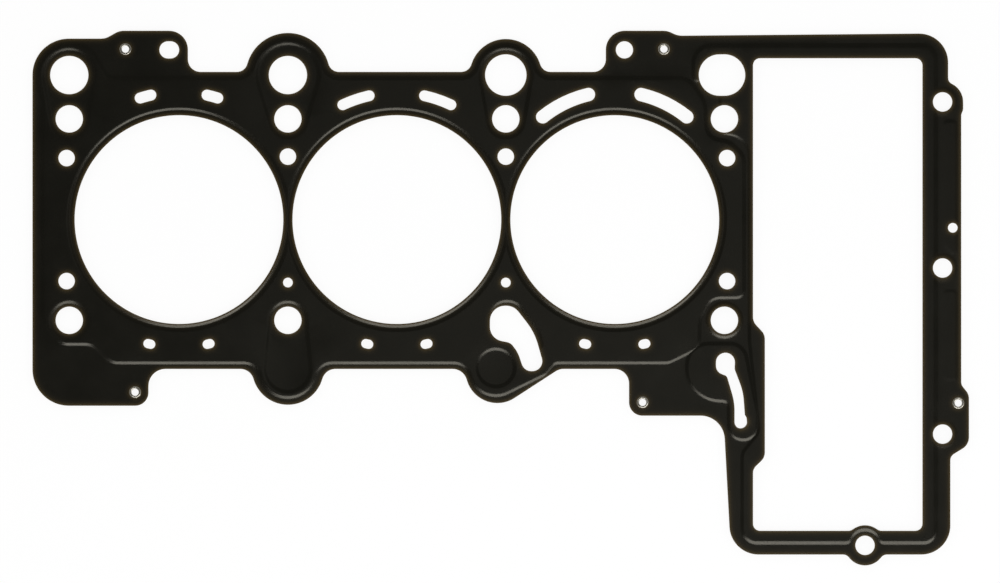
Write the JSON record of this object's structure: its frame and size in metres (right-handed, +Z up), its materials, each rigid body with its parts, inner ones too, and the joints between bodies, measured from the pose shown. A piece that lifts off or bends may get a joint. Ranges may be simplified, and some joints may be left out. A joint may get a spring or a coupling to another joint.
{
  "type": "cylinder head gasket",
  "caption": "Multi-layer steel head gasket for one bank of a V engine, with beads round the cylinders and a timing-chain frame.",
  "frame": {"origin": "on the middle cylinder's axis, which is the centre of the four outer head bolts, on the underside of the gasket", "axes": "+X along the row of cylinders towards the chain frame, +Y across it towards the side with the dowel holes, +Z up through the layers"},
  "size_m": [0.3868, 0.2208, 0.0015],
  "materials": {
    "coated_steel": "thin near-black polymer coating, satin",
    "spacer_steel": "plain rolled sheet, seen only at its edges",
    "eyelet_steel": "bright tinned steel"
  },
  "bodies": {
    "root": {"centre_spacer": "spacer_steel", "upper_layer": "coated_steel", "lower_layer": "coated_steel", "eyelet_top_left": "eyelet_steel", "eyelet_top_right": "eyelet_steel", "eyelet_foot": "eyelet_steel", "eyelet_lug": "eyelet_steel", "eyelet_frame": "eyelet_steel"}
  },
  "joints": []
}
